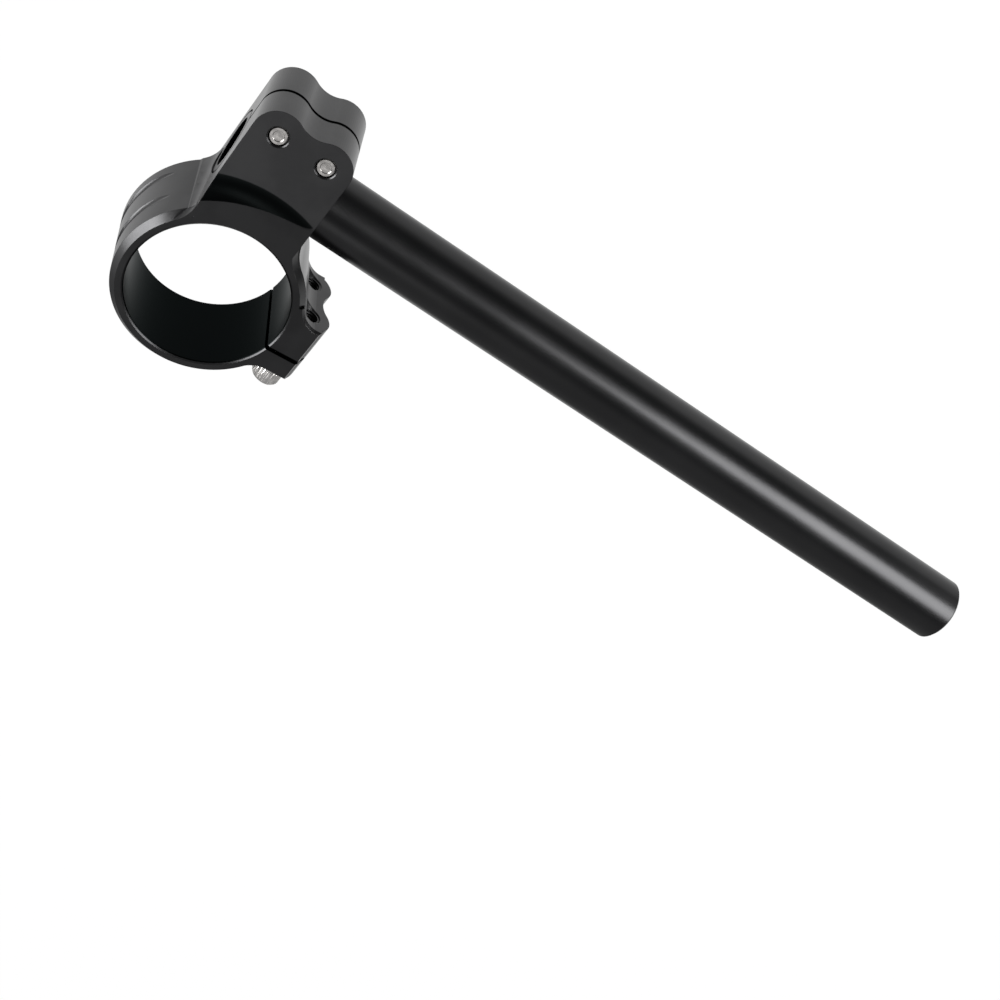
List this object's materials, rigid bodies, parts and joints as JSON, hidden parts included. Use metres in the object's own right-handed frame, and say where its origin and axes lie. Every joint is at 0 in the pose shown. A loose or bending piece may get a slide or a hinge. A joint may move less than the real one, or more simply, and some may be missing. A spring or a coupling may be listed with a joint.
{
  "type": "clip-on handlebar",
  "caption": "Separate half handlebar: a machined split clamp grips a fork leg, and its split head grips a plain tube that carries the hand grip.",
  "frame": {"origin": "on the axis of the fork bore, halfway through the ring's depth", "axes": "+Z along the fork bore's axis, out of the open front face; +X along the bar to its free end, seen square to +Z; +Y from the ring to the head"},
  "size_m": [0.3006, 0.0939, 0.0646],
  "materials": {
    "clamp_anodised": "machined, satin black anodised",
    "bar_anodised": "drawn tube, satin black anodised",
    "screw_steel": "bright stainless steel"
  },
  "bodies": {
    "root": {"clamp_body": "clamp_anodised", "bar_tube": "bar_anodised", "bar_clamp_screw_1": "screw_steel", "bar_clamp_screw_2": "screw_steel", "fork_pinch_screw_1": "screw_steel", "fork_pinch_screw_2": "screw_steel"}
  },
  "joints": []
}
